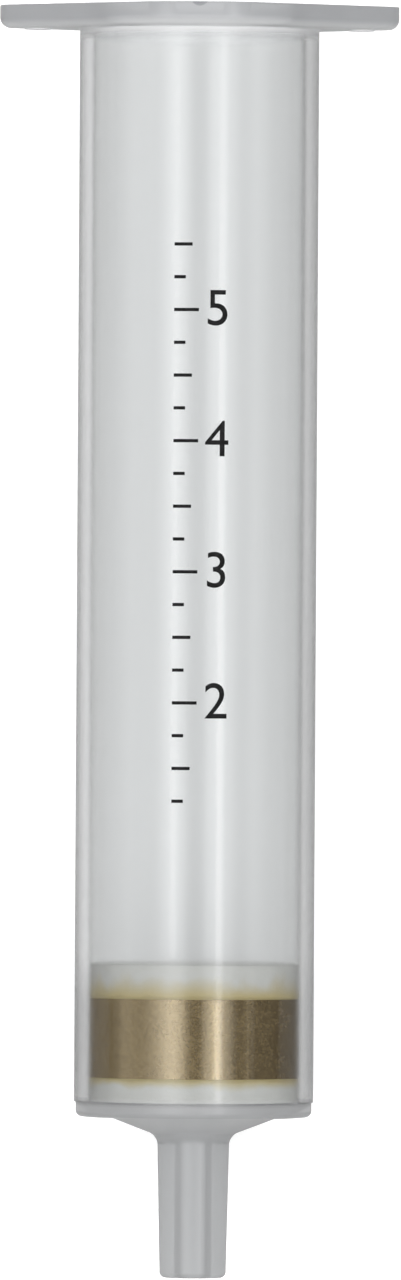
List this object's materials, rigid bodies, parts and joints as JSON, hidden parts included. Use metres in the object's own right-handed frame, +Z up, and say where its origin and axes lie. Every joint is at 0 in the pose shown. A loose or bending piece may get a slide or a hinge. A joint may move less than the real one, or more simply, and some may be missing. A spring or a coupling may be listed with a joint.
{
  "type": "spe cartridge",
  "caption": "Clear flanged column with a male cone tip, packed with a granular sorbent bed between porous frits, for cleaning and concentrating liquid samples.",
  "frame": {"origin": "centre of the footprint, on the surface that the cartridge lies on", "axes": "+Y from the tip towards the flange's open mouth (the axis rises 0.79 degrees that way, as the cartridge rests), +X across the two finger grips, +Z up, out of the side of the rim that has the gate mark"},
  "size_m": [0.0242, 0.0771, 0.0163],
  "materials": {
    "clear_polypropylene": "clear, slightly milky moulded polypropylene with a smooth moulded surface",
    "porous_polyethylene": "sintered porous polyethylene, matt off-white, stained yellow-brown where it meets the sorbent",
    "brown_sorbent": "fine dark brown granules, dry and matt"
  },
  "bodies": {
    "root": {"barrel": "clear_polypropylene", "upper_frit": "porous_polyethylene", "sorbent_bed": "brown_sorbent", "lower_frit": "porous_polyethylene"}
  },
  "joints": []
}
